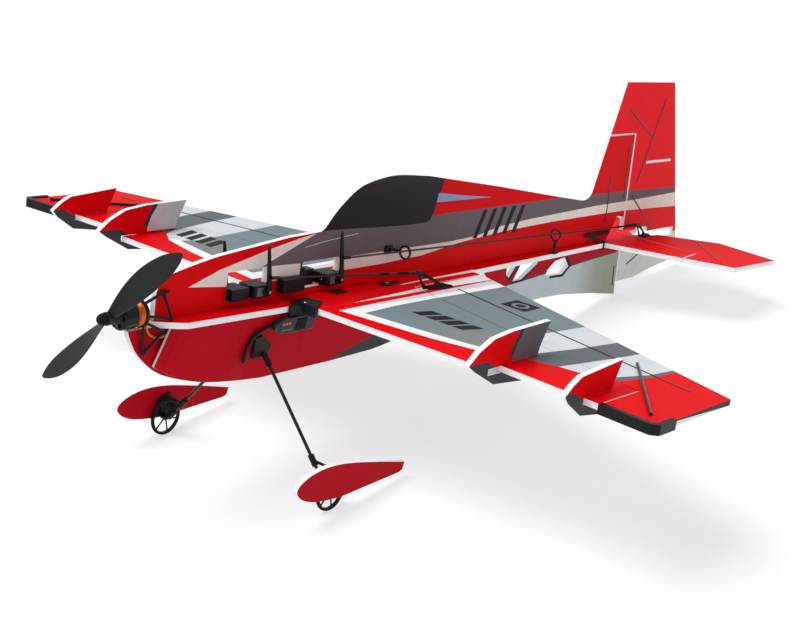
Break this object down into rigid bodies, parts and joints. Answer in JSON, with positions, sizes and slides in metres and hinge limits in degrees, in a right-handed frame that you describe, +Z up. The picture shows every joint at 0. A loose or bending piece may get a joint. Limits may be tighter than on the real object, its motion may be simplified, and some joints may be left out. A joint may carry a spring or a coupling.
{
  "type": "radio controlled aeroplane",
  "caption": "Flat-foam profile radio controlled aerobatic aeroplane with tractor propeller, mid wing, side force plates, moving tail surfaces and spatted wheels.",
  "frame": {"origin": "floor level under the centre of the bounding box", "axes": "+Z up from the floor it stands on, nose towards -Y, its left wing towards +X"},
  "size_m": [0.862, 1.0426, 0.3001],
  "materials": {
    "red_foam": "printed closed-cell foam sheet, satin",
    "dark_red_foam": "printed closed-cell foam sheet, satin",
    "black_plastic": "moulded, satin",
    "carbon": "pultruded carbon, satin",
    "tyre_rubber": "matt",
    "copper_winding": "enamelled wire, glossy",
    "lead_sleeving": "woven sleeving",
    "battery_wrap": "shrink-wrapped"
  },
  "bodies": {
    "airframe": {"horizontal_sheet": "red_foam", "upper_fuselage": "red_foam", "lower_fuselage": "dark_red_foam", "left_cheek": "dark_red_foam", "right_cheek": "dark_red_foam", "left_wheel_pant": "dark_red_foam", "right_wheel_pant": "dark_red_foam", "left_inner_side_plate": "red_foam", "left_outer_side_plate": "red_foam", "left_tail_bracket": "black_plastic", "left_wing_clamp": "black_plastic", "left_gear_mount": "black_plastic", "left_axle_bracket": "black_plastic", "left_aileron_servo": "black_plastic", "left_gear_strut": "carbon", "right_inner_side_plate": "red_foam", "right_outer_side_plate": "red_foam", "right_tail_bracket": "black_plastic", "right_wing_clamp": "black_plastic", "right_gear_mount": "black_plastic", "right_axle_bracket": "black_plastic", "right_aileron_servo": "black_plastic", "right_gear_strut": "carbon", "motor_mount": "black_plastic", "elevator_servo": "black_plastic", "rudder_servo": "black_plastic", "elevator_rod_guide": "black_plastic", "elevator_rod_post": "black_plastic", "rudder_rod_guide": "black_plastic", "receiver": "black_plastic", "speed_controller": "black_plastic", "battery_lead": "black_plastic", "battery": "battery_wrap", "motor_stator": "copper_winding", "motor_leads": "lead_sleeving"},
    "left_aileron": {"left_aileron": "red_foam", "left_tip_guard": "black_plastic", "left_aileron_horn": "black_plastic", "left_aileron_stiffener": "carbon"},
    "left_aileron_servo_arm": {"left_aileron_servo_arm": "black_plastic"},
    "left_aileron_pushrod": {"left_aileron_pushrod": "carbon"},
    "left_wheel": {"left_wheel": "tyre_rubber"},
    "right_aileron": {"right_aileron": "red_foam", "right_tip_guard": "black_plastic", "right_aileron_horn": "black_plastic", "right_aileron_stiffener": "carbon"},
    "right_aileron_servo_arm": {"right_aileron_servo_arm": "black_plastic"},
    "right_aileron_pushrod": {"right_aileron_pushrod": "carbon"},
    "right_wheel": {"right_wheel": "tyre_rubber"},
    "elevator": {"elevator": "red_foam", "elevator_horn": "black_plastic"},
    "rudder": {"rudder": "red_foam", "rudder_horn": "black_plastic"},
    "elevator_servo_arm": {"elevator_servo_arm": "black_plastic"},
    "elevator_pushrod": {"elevator_pushrod": "carbon"},
    "rudder_servo_arm": {"rudder_servo_arm": "black_plastic"},
    "rudder_pushrod": {"rudder_pushrod": "carbon"},
    "rotor": {"motor_bell": "black_plastic", "propeller": "black_plastic", "prop_retainer": "black_plastic"}
  },
  "joints": [
    {"name": "left_aileron_hinge", "type": "hinge", "parent": "airframe", "child": "left_aileron", "pos_m": [0.046, -0.11732, 0.15185], "axis": [0.9702, -0.2395, 0.0358], "range_deg": [-35, 35]},
    {"name": "right_aileron_hinge", "type": "hinge", "parent": "airframe", "child": "right_aileron", "pos_m": [-0.046, -0.11732, 0.15185], "axis": [0.9702, 0.2395, -0.0358], "range_deg": [-35, 35]},
    {"name": "left_aileron_servo_shaft", "type": "hinge", "parent": "airframe", "child": "left_aileron_servo_arm", "pos_m": [0.0157, -0.3181, 0.19537], "axis": [1, 0, 0], "range_deg": [-42, 42]},
    {"name": "right_aileron_servo_shaft", "type": "hinge", "parent": "airframe", "child": "right_aileron_servo_arm", "pos_m": [-0.0157, -0.34777, 0.1998], "axis": [1, 0, 0], "range_deg": [-42, 42]},
    {"name": "left_aileron_rod_pivot", "type": "hinge", "parent": "left_aileron_servo_arm", "child": "left_aileron_pushrod", "pos_m": [0.0189, -0.31824, 0.21137], "axis": [0.9998, -0.0029, -0.0196], "range_deg": [-42, 42]},
    {"name": "right_aileron_rod_pivot", "type": "hinge", "parent": "right_aileron_servo_arm", "child": "right_aileron_pushrod", "pos_m": [-0.0189, -0.34791, 0.2158], "axis": [0.9999, 0.0025, 0.017], "range_deg": [-42, 42]},
    {"name": "elevator_hinge", "type": "hinge", "parent": "airframe", "child": "elevator", "pos_m": [0, 0.39401, 0.07552], "axis": [1, 0, 0], "range_deg": [-30, 30]},
    {"name": "elevator_servo_shaft", "type": "hinge", "parent": "airframe", "child": "elevator_servo_arm", "pos_m": [0.0157, -0.21128, 0.17943], "axis": [1, 0, 0], "range_deg": [-22, 22]},
    {"name": "elevator_rod_pivot", "type": "hinge", "parent": "elevator_servo_arm", "child": "elevator_pushrod", "pos_m": [0.0189, -0.2115, 0.20442], "axis": [1, 0, 0], "range_deg": [-22, 22]},
    {"name": "rudder_hinge", "type": "hinge", "parent": "airframe", "child": "rudder", "pos_m": [0, 0.36681, 0.07958], "axis": [0, 0.0742, 0.9972], "range_deg": [-8, 8]},
    {"name": "rudder_servo_shaft", "type": "hinge", "parent": "airframe", "child": "rudder_servo_arm", "pos_m": [-0.0096, -0.24718, 0.20308], "axis": [0, 0.1476, 0.989], "range_deg": [-8, 8]},
    {"name": "rudder_rod_pivot", "type": "hinge", "parent": "rudder_servo_arm", "child": "rudder_pushrod", "pos_m": [-0.0276, -0.24681, 0.20556], "axis": [0, 0.1476, 0.989], "range_deg": [-8, 8]},
    {"name": "motor_spin", "type": "hinge", "parent": "airframe", "child": "rotor", "pos_m": [0, -0.50773, 0.21872], "axis": [0, 0.989, -0.1476], "continuous": true},
    {"name": "left_wheel_spin", "type": "hinge", "parent": "airframe", "child": "left_wheel", "pos_m": [0.1182, -0.3367, 0.01999], "axis": [1, 0, 0], "continuous": true},
    {"name": "right_wheel_spin", "type": "hinge", "parent": "airframe", "child": "right_wheel", "pos_m": [-0.1182, -0.3367, 0.01999], "axis": [1, 0, 0], "continuous": true}
  ],
  "couplings": [
    {"joint": "right_aileron_hinge", "follows": "left_aileron_hinge", "ratio": -1},
    {"joint": "left_aileron_servo_shaft", "follows": "left_aileron_hinge", "ratio": 1.1875},
    {"joint": "left_aileron_rod_pivot", "follows": "left_aileron_hinge", "ratio": -1.1875},
    {"joint": "right_aileron_servo_shaft", "follows": "left_aileron_hinge", "ratio": -1.1875},
    {"joint": "right_aileron_rod_pivot", "follows": "left_aileron_hinge", "ratio": 1.1875},
    {"joint": "elevator_servo_shaft", "follows": "elevator_hinge", "ratio": 0.72},
    {"joint": "elevator_rod_pivot", "follows": "elevator_hinge", "ratio": -0.72},
    {"joint": "rudder_servo_shaft", "follows": "rudder_hinge", "ratio": 1},
    {"joint": "rudder_rod_pivot", "follows": "rudder_hinge", "ratio": -1}
  ]
}
